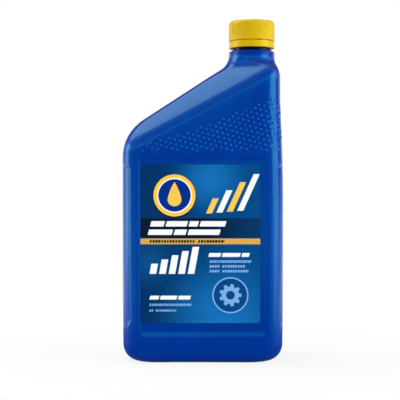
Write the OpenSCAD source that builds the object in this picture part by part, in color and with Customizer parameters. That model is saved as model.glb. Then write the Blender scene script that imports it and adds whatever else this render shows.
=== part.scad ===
/* [Body] */
// Width of the body across its two sides
body_w = 108.5; // [90:0.5:135]
// Depth of the body from front to back
body_d = 60; // [50:0.5:72]
// Height at which the long shoulder starts to curve in from the tall side
side_h = 137.5; // [112:0.5:165]
// Wall thickness of the blown shell
wall = 0.9; // [0.7:0.05:1.2]
// Radius of the four upright corners in plan
corner_r = 12; // [9:0.5:15]
// How far the spout side leans in at its top
side_lean = 2; // [0:0.1:4]
// How far each side draws in towards the foot
foot_draft = 0.8; // [0:0.1:1.5]

/* [Foot] */
// Radius of the edge along the front and back of the foot
heel_r = 6; // [4:0.5:8]
// Radius of the edge at the two sides of the foot
heel_side_r = 12; // [8:0.5:15]
// Height of the shallow arch along the front and back foot
arch_h = 0.85; // [0.2:0.05:1.5]
// Half length of that arch, measured from the middle
arch_half = 28; // [20:0.5:32]
// Height of the push-up in the middle of the base
push_up = 2.4; // [1:0.1:4]

/* [Shoulder] */
// Angle of the long shoulder above the horizontal
slope_deg = 33.4; // [26:0.2:38]
// Radius of the shoulder's big outer corner
shoulder_r = 31; // [24:0.5:37]
// Angle of the crease between front face and shoulder bevel
crease_deg = 28.2; // [24:0.2:30]
// Height of the crease above side_h, at the middle of the body
crease_rise = 33.1; // [29:0.1:40]
// How widely the crease is rounded, on either side of it
crease_round = 5; // [1:0.5:7]
// Steepness of the bevel, seen from the side
bevel_deg = 45; // [40:0.5:52]
// Radius of the long edge between bevel and shoulder ridge
ridge_r = 9; // [7:0.5:11]

/* [Panels] */
// Depth of the recess that protects the label
recess = 0.8; // [0.4:0.1:1.2]
// Width of the soft step round the recess
recess_step = 5; // [4:0.5:7]
// Depth of the long grip panels beside the front and back faces
grip_depth = 0.7; // [0.3:0.1:1]
// Distance from the foot to the grip panels
grip_z = 23.5; // [18:0.5:28]
// Distance from the top of the grip panels up to side_h
grip_top_gap = 4.5; // [2:0.5:20]

/* [Label] */
// Margin between the label and the upright corner on the tall side
label_left = 0.7; // [0.6:0.1:8]
// Margin between the label and the upright corner on the spout side
label_right = 4.1; // [0.6:0.1:8]
// Height of the label's lower edge above the floor
label_z = 26.8; // [22:0.1:34]
// Distance from the label's upper edge up to side_h
label_top_gap = 5.1; // [3:0.1:20]
// Thickness of the label film
label_t = 0.2; // [0.1:0.05:0.3]
// Radius of the label's corners
label_r = 2; // [1:0.5:4]

/* [Neck] */
// Distance of the neck's axis from the spout side of the body
neck_in = 20.5; // [19:0.5:28]
// Radius of the collar at the foot of the neck
collar_r = 15.8; // [14.5:0.1:17.5]
// Height of the straight part of the collar
collar_h = 2.3; // [1.6:0.1:6]
// Height of the bare neck between the collar and the tamper band
neck_gap = 2.2; // [1.8:0.1:3]
// Outside radius of the neck wall under the thread
neck_r = 12.5; // [12:0.1:13]
// Radius of the pouring bore
bore_r = 10.7; // [9.5:0.1:11]
// How far the locking bead stands out from the neck wall
bead_out = 1.5; // [1:0.1:1.7]
// How far the bare neck above the collar stands out from the neck wall
root_out = 1.2; // [0.6:0.1:1.4]
// Height of the neck above the collar
finish_h = 18.5; // [17:0.1:22]
// Radius of the collar's upper edge
collar_edge_r = 1.3; // [0.8:0.1:1.5]
// Height of the locking bead
bead_h = 1.4; // [1:0.1:1.8]

/* [Cap] */
// Wall thickness of the cap's skirt and of the tamper band
cap_wall = 1.45; // [1.2:0.05:1.7]
// Gap between the cap's skirt and the neck's bead, on the radius
cap_gap = 0.3; // [0.25:0.05:0.6]
// Thickness of the cap's top
cap_top = 1.3; // [1:0.1:1.8]
// Radius of the cap's upper edge
cap_edge_r = 2.2; // [1.5:0.1:3]
// Rise of the slightly domed top
cap_dome = 0.3; // [0.2:0.1:0.8]
// Number of grip ribs round the skirt
rib_count = 90; // [60:2:110]
// Depth of the grip ribs
rib_depth = 0.25; // [0.15:0.05:0.4]
// Height of the tamper band
band_h = 4.6; // [3.8:0.1:5.2]
// Height of the band's inner lip, which catches under the locking bead
lip_h = 1.2; // [0.8:0.1:1.6]
// Slit between the tamper band and the cap
band_slit = 0.4; // [0.3:0.05:0.6]
// Number of bridges across that slit
bridge_count = 12; // [8:1:16]
// Thickness of the sealing liner
liner_t = 0.9; // [0.6:0.1:1.2]
// Running clearance between pieces that touch when closed
seat_gap = 0.05; // [0.03:0.01:0.1]

/* [Hidden] */

half_w = body_w / 2;
half_d = body_d / 2;
neck_x = half_w - neck_in;
label_w = body_w - 2 * corner_r - label_left - label_right;
label_h = side_h - label_top_gap - label_z;
label_x = (label_left - label_right) / 2;

// Radii of the concave flares where the shoulders run into the collar
slope_flare_r = 12;
front_flare_r = 4;
spout_flare_r = 14;
// Shoulder in front of and behind the neck, and on the spout side
front_deg = 24;
front_edge_r = 4;
spout_deg = 77;
spout_edge_r = 12;
// Drop from the collar's foot to the tops of the flares in front, behind and on the spout side
roof_drop = 2.3;
// Heights over which the corner radii change, at the neck and at the ridge
blend_span = 18;
ridge_span = 28;
// Heights below the collar between which the rounding of the crease fades out
crease_fade = 13;
crease_stop = 4;
// Height below the collar from which the rings of the loft lie closer
ring_span = 14;
// Fillet that turns the bevel upright below the collar: the height over which it acts, and its curved part
lift_span = 8.3;
lift_round = 6;

// The collar stands where the long shoulder meets the left side of the neck
slope_reach = neck_x - collar_r + half_w;
slope_corner_z = side_h + shoulder_r * tan((90 - slope_deg) / 2);
slope_top_z = slope_corner_z + slope_reach * tan(slope_deg);
collar_z = slope_top_z + slope_flare_r * tan((90 - slope_deg) / 2);
roof_z = collar_z - roof_drop;
crease_z = side_h + crease_rise;

// The spout side leans in between these heights, and the sides draw in below the belly
lean_z = side_h - 25;
lean_end_z = side_h + 38;
belly_z = side_h - 37;
spout_half_w = half_w - side_lean;

// Label recess and grip panels
recess_z0 = label_z - 2 * recess_step;
recess_gap = 1.5;
recess_z1 = label_z + label_h + recess_gap;
grip_h = side_h - grip_top_gap - grip_z;
grip_end = 6;

// Heights and radii of the closure
bead_r = neck_r + bead_out;
root_r = neck_r + root_out;
groove_r = neck_r + 0.3;
band_z = collar_z + collar_h + neck_gap;
rim_z = collar_z + collar_h + finish_h;
cap_inner_r = bead_r + cap_gap;
cap_r = cap_inner_r + cap_wall;
skirt_z = band_z + band_h + band_slit;
liner_z = rim_z + seat_gap;
cap_roof_z = liner_z + liner_t + seat_gap;
cap_z = cap_roof_z + cap_top;

function smooth(a, b, v) = let (t = min(1, max(0, (v - a) / (b - a)))) t * t * (3 - 2 * t);
function mix(a, b, t) = a + (b - a) * t;

// Sorted list without near doubles, for the heights of the loft's rings
function sorted(v) = len(v) < 2 ? v : let (p = v[floor(len(v) / 2)])
    concat(sorted([for (a = v) if (a < p - 0.3) a]), [p], sorted([for (a = v) if (a > p + 0.3) a]));

// Reach of one side of the body at height z: an upright side at reach s, a convex corner of radius r,
// a slope at angle a and a concave flare of radius f into the collar at reach c. It all lies o inside.
function side_reach(z, s, a, r, f, c, top, o) =
    let (
        flare_z = top + f * tan((90 - a) / 2),
        corner_z = top - (s - c) * tan(a) - r * tan((90 - a) / 2)
    )
    z <= corner_z ? s - o
    : z <= corner_z + (r - o) * cos(a) ? s - r + sqrt(pow(r - o, 2) - pow(z - corner_z, 2))
    : z <= flare_z - (f + o) * cos(a) ? c + (top - z) / tan(a) - o / sin(a)
    : z < flare_z ? c + f - sqrt(pow(f + o, 2) - pow(flare_z - z, 2))
    : c - o;

// Inset of a rounded edge of radius r at the foot, and of the draft of the sides
function heel_in(z, r, o) = z >= r ? 0 : r - o - sqrt(max(0, pow(r - o, 2) - pow(r - z, 2)));
function side_in(z, o) = heel_in(z, heel_side_r, o) + foot_draft * pow(max(0, 1 - z / belly_z), 2);

function x_left(z, o) = neck_x + side_in(z, o)
    - side_reach(z, half_w + neck_x, slope_deg, shoulder_r, slope_flare_r, collar_r, slope_top_z, o);

function x_right(z, o) = neck_x - side_in(z, o)
    + side_reach(z, spout_half_w - neck_x, spout_deg, spout_edge_r, spout_flare_r, collar_r,
        roof_z - spout_flare_r * tan((90 - spout_deg) / 2), o)
    + side_lean * (1 - pow(min(1, max(0, (z - lean_z) / (lean_end_z - lean_z))), 1.5));

function half_depth(z, o) = side_reach(z, half_d, front_deg, front_edge_r, front_flare_r, collar_r,
    roof_z - front_flare_r * tan((90 - front_deg) / 2), o) - heel_in(z, heel_r, o);

// The bevel plane limits the depth of the shoulder: y <= bevel_y(x, z)
crease_m = tan(crease_deg);
bevel_m = tan(bevel_deg);
bevel_q = sqrt(1 + pow(crease_m / bevel_m, 2));
bevel_n = sqrt(1 + pow(crease_m, 2) + pow(bevel_m, 2));
function bevel_lift(t) = t < lift_round ? pow(max(0, t), 2) / (2 * lift_round) : t - lift_round / 2;
function bevel_top(z) = half_d + bevel_lift(z - roof_z + lift_span) / bevel_m;
function bevel_y(x, z, o) = bevel_top(z) + (crease_z + crease_m * x - z - o * bevel_n) / bevel_m;
function bevel_x(y, z, o) = (bevel_m * (y - bevel_top(z)) + z - crease_z + o * bevel_n) / crease_m;

// The crease is sharp again where the shoulder runs into the collar
function crease_k(z) = crease_round * (1 - smooth(collar_z - crease_fade, collar_z - crease_stop, z));
function soft_min(a, b, k) = let (t = min(1, max(0, 0.5 + (b - a) / max(0.01, 2 * k))))
    mix(b, a, t) - k * t * (1 - t);

// Corner radii in plan, which all become the collar's radius at the top
function plan_r(z, r, o) = mix(r, collar_r, smooth(roof_z - blend_span, roof_z, z)) - o;
function left_r(z, o) = plan_r(z, mix(corner_r, ridge_r, smooth(side_h, side_h + ridge_span, z)), o);
function right_r(z, o) = plan_r(z, corner_r, o);

// Recess of the front and back faces, full between the upright corners
function recess_at(z) = recess * smooth(recess_z0, recess_z0 + recess_step, z)
    * (1 - smooth(recess_z1, recess_z1 + recess_step, z));

// Depth of the grip panels at angle a round an upright corner, counted from the side
grip_edge = 59;
function grip_at(a, z) =
    let (
        e = min(z - grip_z, grip_z + grip_h - z) / grip_end,
        edge = grip_edge * sqrt(max(0, 1 - pow(1 - min(1, max(0, e)), 2)))
    )
    a > edge + 0.01 ? 0 : grip_depth * sin(90 * a / grip_edge);

// Lift of the foot: the arch along the front and back edges
function arch_at(x, z) = arch_h * (1 - smooth(0, arch_half, abs(x))) * max(0, 1 - z / (2 * heel_r));

// Front half of one ring, from the long side to the spout side, seen from above. The corner's arc first
// moves back until it touches the bevel. The face then follows the lesser of front and bevel.
arc_angles = [6, 20, 34, 48, grip_edge];
face_angles = [grip_edge + 3.5, 72, 81];
corner_angles = concat(arc_angles, face_angles);
spout_angles = [for (i = [len(corner_angles) - 1:-1:0]) corner_angles[i]];
face_end = 1;
recess_side = 1.5;
// Least depth of an arc point for each degree, where the bevel cuts the whole arc
arc_keep = 0.02;
function front_half(z, o) =
    let (
        h = half_depth(z, o), rl = left_r(z, o), rr = right_r(z, o), k = crease_k(z),
        ax = x_left(z, o) + rl,
        cx = max(ax, x_right(z, o) - rr),
        h_l = max(0, h - rl),
        h_r = max(0, h - rr),
        ay = max(0, soft_min(h_l, bevel_y(ax, z, o) - rl * bevel_q, k)),
        xa = ax - face_end,
        xb = cx + face_end,
        side = min(recess_side, 0.2 * (xb - xa)),
        xc = min(xb - 2 * side, max(xa + 2 * side, bevel_x(h, z, o))),
        reach = crease_round * bevel_m / crease_m,
        wl = min(reach, xc - xa - side),
        wr = min(reach, xb - xc - side),
        y_a = h_l + sqrt(pow(rl, 2) - pow(face_end, 2)),
        y_b = h_r + sqrt(pow(rr, 2) - pow(face_end, 2))
    )
    concat(
        [for (a = arc_angles) let (r = rl - grip_at(a, z), x = ax - r * cos(a))
            [x, min(ay + r * sin(a), max(a * arc_keep, bevel_y(x, z, o)))]],
        [for (a = face_angles) let (x = ax - rl * cos(a)) [x, soft_min(h_l + rl * sin(a), bevel_y(x, z, o), k)]],
        [[xa, soft_min(y_a, bevel_y(xa, z, o), k)]],
        [for (x = [xa + side, xc - 0.6 * wl, xc - 0.25 * wl, xc, xc + 0.25 * wr, xc + 0.6 * wr, xb - side])
            [x, soft_min(h, bevel_y(x, z, o), k) - recess_at(z)]],
        [[xb, soft_min(y_b, bevel_y(xb, z, o), k)]],
        [for (a = spout_angles) let (r = rr - grip_at(a, z), x = cx + r * cos(a))
            [x, soft_min(h_r + r * sin(a), bevel_y(x, z, o), k)]]
    );

// One whole ring of the loft at height z, o inside the outer face
function ring(z, o) =
    let (f = front_half(z, o), n = len(f))
    concat(
        [[x_left(z, o), 0]],
        [for (p = f) [p[0], -p[1]]],
        [[x_right(z, o), 0]],
        [for (i = [n - 1:-1:0]) f[i]]
    );
function lifted(points, z, s, lift) =
    [for (p = points) [p[0] * s, p[1] * s, z + lift + arch_at(p[0] * s, z)]];

// Base rings shrink towards the middle and rise into the push-up
base_scales = [0.3, 0.6, 0.78, 0.86];
function base_lift(s) = push_up * (1 - smooth(0.55, 0.86, s));
function base_rings(z, o) = [for (s = base_scales) lifted(ring(z, o), z, s, base_lift(s))];

neck_blend_z = collar_z - ring_span;
ring_heights = sorted(concat(
    [for (r = [heel_r, heel_side_r], a = [15:25:90]) r * (1 - cos(a))],
    [for (t = [0:0.5:1]) recess_z0 + t * recess_step],
    [for (t = [0:0.5:1]) recess_z1 + t * recess_step],
    [for (t = [0.1, 0.45, 1]) grip_z + t * grip_end],
    [for (t = [0.1, 0.45, 1]) grip_z + grip_h - t * grip_end],
    [for (t = [0.35:0.325:1]) mix(0, side_h, t)],
    [for (t = [0:0.125:0.875]) mix(side_h, neck_blend_z, t)],
    [for (t = [0:0.1:1]) mix(neck_blend_z, collar_z, t)]
));

module shell() {
    outer = concat(base_rings(0, 0), [lifted(ring(0, 0), 0, 1, 0)],
        [for (z = ring_heights) if (z > 0) lifted(ring(z, 0), z, 1, 0)]);
    inner = concat(base_rings(wall, wall), [lifted(ring(wall, wall), wall, 1, 0)],
        [for (z = ring_heights) if (z > wall + 0.3) lifted(ring(z, wall), z, 1, 0)]);
    rings = concat(outer, [for (i = [len(inner) - 1:-1:0]) inner[i]]);
    n = len(rings[0]);
    m = len(rings);
    foot = [0, 0, push_up + arch_h];
    roof = [0, 0, push_up + arch_h + wall];
    points = concat([for (r = rings) for (p = r) p], [foot, roof]);
    polyhedron(points, concat(
        [for (j = [0:n - 1]) [m * n, j, (j + 1) % n]],
        [for (i = [0:m - 2]) for (j = [0:n - 1]) [i * n + j, (i + 1) * n + (j + 1) % n, i * n + (j + 1) % n]],
        [for (i = [0:m - 2]) for (j = [0:n - 1]) [i * n + j, (i + 1) * n + j, (i + 1) * n + (j + 1) % n]],
        [for (j = [0:n - 1]) [m * n + 1, (m - 1) * n + (j + 1) % n, (m - 1) * n + j]]
    ));
}

module at_neck(z) {
    translate([neck_x, 0, z]) children();
}

// Outer quarter round, centred at c, from the side up to the top
function quarter(c, r) = [for (a = [0:15:90]) [c[0] + r * cos(a), c[1] + r * sin(a)]];

lip_r = groove_r + seat_gap + 0.35;
bead_z = band_z + lip_h + 0.25;
// The neck is let this far into the shell, and its foot is a hair wider, so that the two fuse
neck_joint = 0.5;
neck_foot_r = collar_r + 0.05;
neck_wall = 1.5;

// Collar, bare neck, groove, locking bead and neck wall, turned round the neck's axis
module neck_finish() {
    at_neck(0) rotate_extrude($fn = 96) polygon(concat(
        [[neck_foot_r - neck_wall, collar_z - neck_joint], [neck_foot_r, collar_z - neck_joint]],
        quarter([neck_foot_r - collar_edge_r, collar_z + collar_h - collar_edge_r], collar_edge_r),
        [
            [root_r, collar_z + collar_h],
            [root_r, band_z - 0.5],
            [groove_r, band_z - 0.2],
            [groove_r, bead_z],
            [bead_r, bead_z],
            [bead_r, bead_z + bead_h / 2],
            [neck_r, bead_z + bead_h],
            [neck_r, rim_z - 0.4],
            [neck_r - 0.4, rim_z],
            [bore_r + 0.3, rim_z],
            [bore_r, rim_z - 0.3],
            [bore_r, collar_z + collar_h - 0.5],
            [neck_foot_r - neck_wall, collar_z + 0.5]
        ]
    ));
}

module bottle() {
    color("#123f93") union() {
        shell();
        neck_finish();
    }
}

module tamper_band() {
    color("#e5c31a") at_neck(band_z) union() {
        rotate_extrude($fn = 96) polygon([
            [lip_r, 0],
            [cap_r - 0.3, 0],
            [cap_r, 0.3],
            [cap_r, band_h - 0.4],
            [cap_r - 0.2, band_h],
            [cap_inner_r, band_h],
            [cap_inner_r, lip_h + 0.4],
            [lip_r, lip_h]
        ]);
        for (i = [0:bridge_count - 1]) rotate([0, 0, i * 360 / bridge_count])
            translate([cap_inner_r + 0.4, -0.5, band_h - 0.2]) cube([0.6, 1, band_slit + 0.2 - seat_gap]);
    }
}

// Thin printed film that lies on the recessed front face
module front_label() {
    color("#1a5a9e") translate([label_x, recess - half_d, label_z + label_h / 2]) rotate([90, 0, 0])
        linear_extrude(label_t) union() {
            square([label_w - 2 * label_r, label_h], center = true);
            square([label_w, label_h - 2 * label_r], center = true);
            for (x = [-1, 1], y = [-1, 1])
                translate([x * (label_w / 2 - label_r), y * (label_h / 2 - label_r)]) circle(label_r, $fn = 32);
        }
}

module cap_liner() {
    color("white") at_neck(liner_z) cylinder(h = liner_t, r = cap_inner_r - 0.2, $fn = 96);
}

// Ring of grip ribs round the skirt, below the cap's rounded edge
module grip_ribs() {
    rib_z = skirt_z + 0.6;
    rib_h = cap_z - cap_edge_r - rib_z;
    at_neck(rib_z) linear_extrude(rib_h) difference() {
        polygon([for (i = [0:2 * rib_count - 1]) let (r = cap_r - (i % 2) * rib_depth, a = i * 180 / rib_count)
            [r * cos(a), r * sin(a)]]);
        circle(cap_r - cap_wall / 2, $fn = 96);
    }
}

module screw_cap() {
    core_r = cap_r - rib_depth - 0.02;
    color("#e0b90c") union() {
        at_neck(0) rotate_extrude($fn = 96) polygon(concat(
            [[cap_inner_r, cap_roof_z], [cap_inner_r, skirt_z], [core_r - 0.2, skirt_z], [core_r, skirt_z + 0.2]],
            quarter([core_r - cap_edge_r, cap_z - cap_edge_r], cap_edge_r),
            [[0, cap_z + cap_dome], [0, cap_roof_z]]
        ));
        grip_ribs();
    }
}

bottle();
tamper_band();
front_label();
cap_liner();
screw_cap();
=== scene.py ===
"""Motor oil bottle: a blue blow-moulded bottle, its label and its yellow screw cap."""
import math

import bmesh
import bpy
from mathutils import Matrix, Vector


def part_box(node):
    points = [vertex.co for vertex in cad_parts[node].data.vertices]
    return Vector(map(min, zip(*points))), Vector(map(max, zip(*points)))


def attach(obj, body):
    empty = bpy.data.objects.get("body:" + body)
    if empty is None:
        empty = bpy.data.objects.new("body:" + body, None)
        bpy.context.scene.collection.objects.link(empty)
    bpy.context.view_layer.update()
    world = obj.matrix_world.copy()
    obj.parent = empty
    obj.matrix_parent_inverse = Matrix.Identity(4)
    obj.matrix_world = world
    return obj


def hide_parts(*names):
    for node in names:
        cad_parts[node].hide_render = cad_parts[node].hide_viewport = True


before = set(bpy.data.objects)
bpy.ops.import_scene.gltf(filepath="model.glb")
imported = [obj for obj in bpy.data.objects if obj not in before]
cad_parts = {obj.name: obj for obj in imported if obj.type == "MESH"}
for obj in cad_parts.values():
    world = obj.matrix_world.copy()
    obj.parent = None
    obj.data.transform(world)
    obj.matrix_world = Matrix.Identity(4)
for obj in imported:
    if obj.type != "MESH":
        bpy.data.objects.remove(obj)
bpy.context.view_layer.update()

MM = 0.001

# Camera: level with the middle of the bottle, a little to the left of its axis
CAMERA_DISTANCE = 0.825
CAMERA_X = -0.00194
HORIZON_Z = 0.1154
PIXEL = 0.00069
FRAME_PX = 400
HORIZON_PY = 190
SENSOR = 36.0

# Body of the bottle, in millimetres
HALF_W = 54.25
HALF_D = 30.0
SIDE_H = 137.5
WALL = 0.9
CORNER_R = 12.0
SIDE_LEAN = 2.0
LEAN_Z = SIDE_H - 25
LEAN_END_Z = SIDE_H + 38
FOOT_DRAFT = 0.8
BELLY_Z = SIDE_H - 37
HEEL_R = 6.0
HEEL_SIDE_R = 12.0
ARCH_H = 0.85
ARCH_HALF = 28.0
PUSH_UP = 2.4

# Shoulder
SLOPE = math.radians(33.4)
SHOULDER_R = 31.0
CREASE = math.radians(28.2)
CREASE_Z = SIDE_H + 33.1
CREASE_ROUND = 5.0
BEVEL = math.radians(45)
LIFT_SPAN = 8.3
LIFT_ROUND = 6.0
CREASE_FADE = 13.0
CREASE_STOP = 4.0
RIDGE_R = 9.0
RIDGE_SPAN = 28.0
SLOPE_FLARE_R = 12.0
FRONT_FLARE_R = 4.0
SPOUT_FLARE_R = 14.0
FRONT_SLOPE = math.radians(24)
FRONT_EDGE_R = 4.0
SPOUT_SLOPE = math.radians(77)
SPOUT_EDGE_R = 12.0
ROOF_DROP = 2.3
BLEND_SPAN = 18.0

# Panels
LABEL_Z = 26.8
LABEL_H = 105.6
RECESS = 0.8
RECESS_STEP = 5.0
RECESS_SIDE = 1.5
RECESS_Z0 = LABEL_Z - 2 * RECESS_STEP
RECESS_Z1 = LABEL_Z + LABEL_H + 1.5
GRIP_DEPTH = 0.7
GRIP_Z = 23.5
GRIP_H = 109.5
GRIP_END = 6.0
GRIP_EDGE = 57.5
GRIP_RISER = 2.5

# Neck
NECK_X = 33.75
COLLAR_R = 15.8
COLLAR_H = 2.3
NECK_GAP = 2.2
NECK_R = 12.5
BORE_R = 10.7
BEAD_OUT = 1.5
ROOT_OUT = 1.2
THREAD_PITCH = 4.2
FINISH_H = 18.5
LIP_H = 1.2
BEAD_H = 1.4


def flare_rise(radius, slope):
    """Height from a slope's corner to the end of the arc that rounds it."""
    return radius * math.tan((math.pi / 2 - slope) / 2)


SLOPE_TOP_Z = SIDE_H + flare_rise(SHOULDER_R, SLOPE) + (NECK_X - COLLAR_R + HALF_W) * math.tan(SLOPE)
COLLAR_Z = SLOPE_TOP_Z + flare_rise(SLOPE_FLARE_R, SLOPE)
ROOF_Z = COLLAR_Z - ROOF_DROP
BAND_Z = COLLAR_Z + COLLAR_H + NECK_GAP
RIM_Z = COLLAR_Z + COLLAR_H + FINISH_H


def smooth(a, b, v):
    """Smooth step from 0 at a to 1 at b."""
    t = min(1.0, max(0.0, (v - a) / (b - a)))
    return t * t * (3 - 2 * t)


def mix(a, b, t):
    return a + (b - a) * t


def ramp(a, b, v, ends=0.2):
    """Straight rise from 0 at a to 1 at b with both ends rounded."""
    t = min(1.0, max(0.0, (v - a) / (b - a)))
    if t < ends:
        return t * t / (2 * ends * (1 - ends))
    if t > 1 - ends:
        return 1 - (1 - t) ** 2 / (2 * ends * (1 - ends))
    return (t - ends / 2) / (1 - ends)


def soft_min(a, b, k):
    """The lesser of two values, rounded where they are less than k apart."""
    t = min(1.0, max(0.0, 0.5 + (b - a) / max(0.01, 2 * k)))
    return mix(b, a, t) - k * t * (1 - t)


# Form of the body: the same profiles as the solid's, sampled more finely


def side_reach(z, side, slope, corner, flare, collar, top, inset):
    """How far one side of the body reaches at height z: upright side, round corner, slope, flare, collar."""
    flare_z = top + flare_rise(flare, slope)
    corner_z = top - (side - collar) * math.tan(slope) - flare_rise(corner, slope)
    if z <= corner_z:
        return side - inset
    if z <= corner_z + (corner - inset) * math.cos(slope):
        return side - corner + math.sqrt((corner - inset) ** 2 - (z - corner_z) ** 2)
    if z <= flare_z - (flare + inset) * math.cos(slope):
        return collar + (top - z) / math.tan(slope) - inset / math.sin(slope)
    if z < flare_z:
        return collar + flare - math.sqrt((flare + inset) ** 2 - (flare_z - z) ** 2)
    return collar - inset


def heel_in(z, radius, inset):
    """Inset of a rounded edge at the foot."""
    if z >= radius:
        return 0.0
    return radius - inset - math.sqrt(max(0.0, (radius - inset) ** 2 - (radius - z) ** 2))


def side_in(z, inset):
    return heel_in(z, HEEL_SIDE_R, inset) + FOOT_DRAFT * max(0.0, 1 - z / BELLY_Z) ** 2


def x_left(z, inset):
    reach = side_reach(z, HALF_W + NECK_X, SLOPE, SHOULDER_R, SLOPE_FLARE_R, COLLAR_R, SLOPE_TOP_Z, inset)
    return NECK_X + side_in(z, inset) - reach


def x_right(z, inset):
    top = ROOF_Z - flare_rise(SPOUT_FLARE_R, SPOUT_SLOPE)
    side = HALF_W - SIDE_LEAN - NECK_X
    reach = side_reach(z, side, SPOUT_SLOPE, SPOUT_EDGE_R, SPOUT_FLARE_R, COLLAR_R, top, inset)
    lean = min(1.0, max(0.0, (z - LEAN_Z) / (LEAN_END_Z - LEAN_Z))) ** 1.5
    return NECK_X - side_in(z, inset) + reach + SIDE_LEAN * (1 - lean)


def half_depth(z, inset):
    top = ROOF_Z - flare_rise(FRONT_FLARE_R, FRONT_SLOPE)
    reach = side_reach(z, HALF_D, FRONT_SLOPE, FRONT_EDGE_R, FRONT_FLARE_R, COLLAR_R, top, inset)
    return reach - heel_in(z, HEEL_R, inset)


CREASE_M = math.tan(CREASE)
BEVEL_M = math.tan(BEVEL)
BEVEL_Q = math.sqrt(1 + (CREASE_M / BEVEL_M) ** 2)
BEVEL_N = math.sqrt(1 + CREASE_M ** 2 + BEVEL_M ** 2)
TURN = math.degrees(math.atan2(BEVEL_M, CREASE_M))


def bevel_top(z):
    """Depth from which the bevel leans back. It grows below the collar, so that the bevel turns upright there."""
    t = max(0.0, z - ROOF_Z + LIFT_SPAN)
    lift = t * t / (2 * LIFT_ROUND) if t < LIFT_ROUND else t - LIFT_ROUND / 2
    return HALF_D + lift / BEVEL_M


def bevel_y(x, z, inset):
    """Depth to which the shoulder's bevel lets the body reach."""
    return bevel_top(z) + (CREASE_Z + CREASE_M * x - z - inset * BEVEL_N) / BEVEL_M


def bevel_x(y, z, inset):
    return (BEVEL_M * (y - bevel_top(z)) + z - CREASE_Z + inset * BEVEL_N) / CREASE_M


def crease_round(z):
    return CREASE_ROUND * (1 - smooth(COLLAR_Z - CREASE_FADE, COLLAR_Z - CREASE_STOP, z))


def plan_radius(z, radius, inset):
    """Radius of an upright corner, which becomes the collar's at the top."""
    return mix(radius, COLLAR_R, smooth(ROOF_Z - BLEND_SPAN, ROOF_Z, z)) - inset


def recess_at(z):
    rise = ramp(RECESS_Z0, RECESS_Z0 + RECESS_STEP, z)
    return RECESS * rise * (1 - smooth(RECESS_Z1, RECESS_Z1 + RECESS_STEP, z))


def grip_at(angle, z):
    """Depth of the grip panel at an angle round an upright corner, counted from the side."""
    end = min(1.0, max(0.0, min(z - GRIP_Z, GRIP_Z + GRIP_H - z) / GRIP_END))
    edge = GRIP_EDGE * math.sqrt(1 - (1 - end) ** 2)
    if edge <= 0:
        return 0.0
    riser = 1 - smooth(edge - GRIP_RISER, edge + GRIP_RISER, angle)
    return GRIP_DEPTH * riser * math.sin(math.radians(90 * min(1.0, angle / GRIP_EDGE))) * min(1.0, end * 3)


def arch_at(x, z):
    """Lift of the foot's front and back edges."""
    return ARCH_H * (1 - smooth(0, ARCH_HALF, abs(x))) * max(0.0, 1 - z / (2 * HEEL_R))


SEAM_H = 0.1
SEAM_HALF = 0.35
SEAM_POINTS = (0.12, 0.35, 1.2, 4.0)
CORNER_ANGLES = [2, 6, 11, 17, 23, 29, 35, 41, 46, 50, 53, 55, 56, 57, 58, 59, 60, 62, 65, 69, 74, 80]
FACE_END = 1.0
ARC_KEEP = 0.02
ZONE_STEPS = (0.85, 0.7, 0.56, 0.43, 0.3, 0.2, 0.1)


def front_depth(x, z, inset):
    """Depth of the front face at x, where neither corner rounds it: the lesser of front and bevel."""
    return soft_min(half_depth(z, inset), bevel_y(x, z, inset), crease_round(z))


def front_half(z, inset, angles, zone_steps):
    """Half of one section, from the long side round the front to the spout side: (x, distance from the middle)."""
    left_r = plan_radius(z, mix(CORNER_R, RIDGE_R, smooth(SIDE_H, SIDE_H + RIDGE_SPAN, z)), inset)
    right_r = plan_radius(z, CORNER_R, inset)
    depth = half_depth(z, inset)
    soft = crease_round(z)
    ax = x_left(z, inset) + left_r
    cx = max(ax, x_right(z, inset) - right_r)
    h_left = max(0.0, depth - left_r)
    h_right = max(0.0, depth - right_r)
    ay = max(0.0, soft_min(h_left, bevel_y(ax, z, inset) - left_r * BEVEL_Q, soft))
    half = []
    for angle in angles:
        a = math.radians(angle)
        r = left_r - grip_at(angle, z)
        x = ax - r * math.cos(a)
        if angle < TURN:
            y = min(ay + r * math.sin(a), max(ARC_KEEP * angle, bevel_y(x, z, inset)))
        else:
            y = soft_min(h_left + r * math.sin(a), bevel_y(x, z, inset), soft)
        half.append((x, y))
    xa, xb = ax - FACE_END, cx + FACE_END
    side = min(RECESS_SIDE, 0.2 * (xb - xa))
    xc = min(xb - 2 * side, max(xa + 2 * side, bevel_x(depth, z, inset)))
    reach = CREASE_ROUND * BEVEL_M / CREASE_M
    left_zone, right_zone = min(reach, xc - xa - side), min(reach, xb - xc - side)
    face = [xa, xa + side * 0.5, xa + side] + [xc - left_zone * t for t in zone_steps] + [xc]
    face += [xc + right_zone * t for t in reversed(zone_steps)] + [xb - side, xb - side * 0.5, xb]
    for x in face:
        y = depth
        if x < ax:
            y = min(y, h_left + math.sqrt(left_r ** 2 - (x - ax) ** 2))
        if x > cx:
            y = min(y, h_right + math.sqrt(right_r ** 2 - (x - cx) ** 2))
        flush = recess_at(z) * smooth(0, side, min(x - xa, xb - x))
        half.append((x, soft_min(y, bevel_y(x, z, inset), soft) - flush))
    for angle in reversed(angles):
        a = math.radians(angle)
        r = right_r - grip_at(angle, z)
        x = cx + r * math.cos(a)
        half.append((x, soft_min(h_right + r * math.sin(a), bevel_y(x, z, inset), soft)))
    return half


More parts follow.
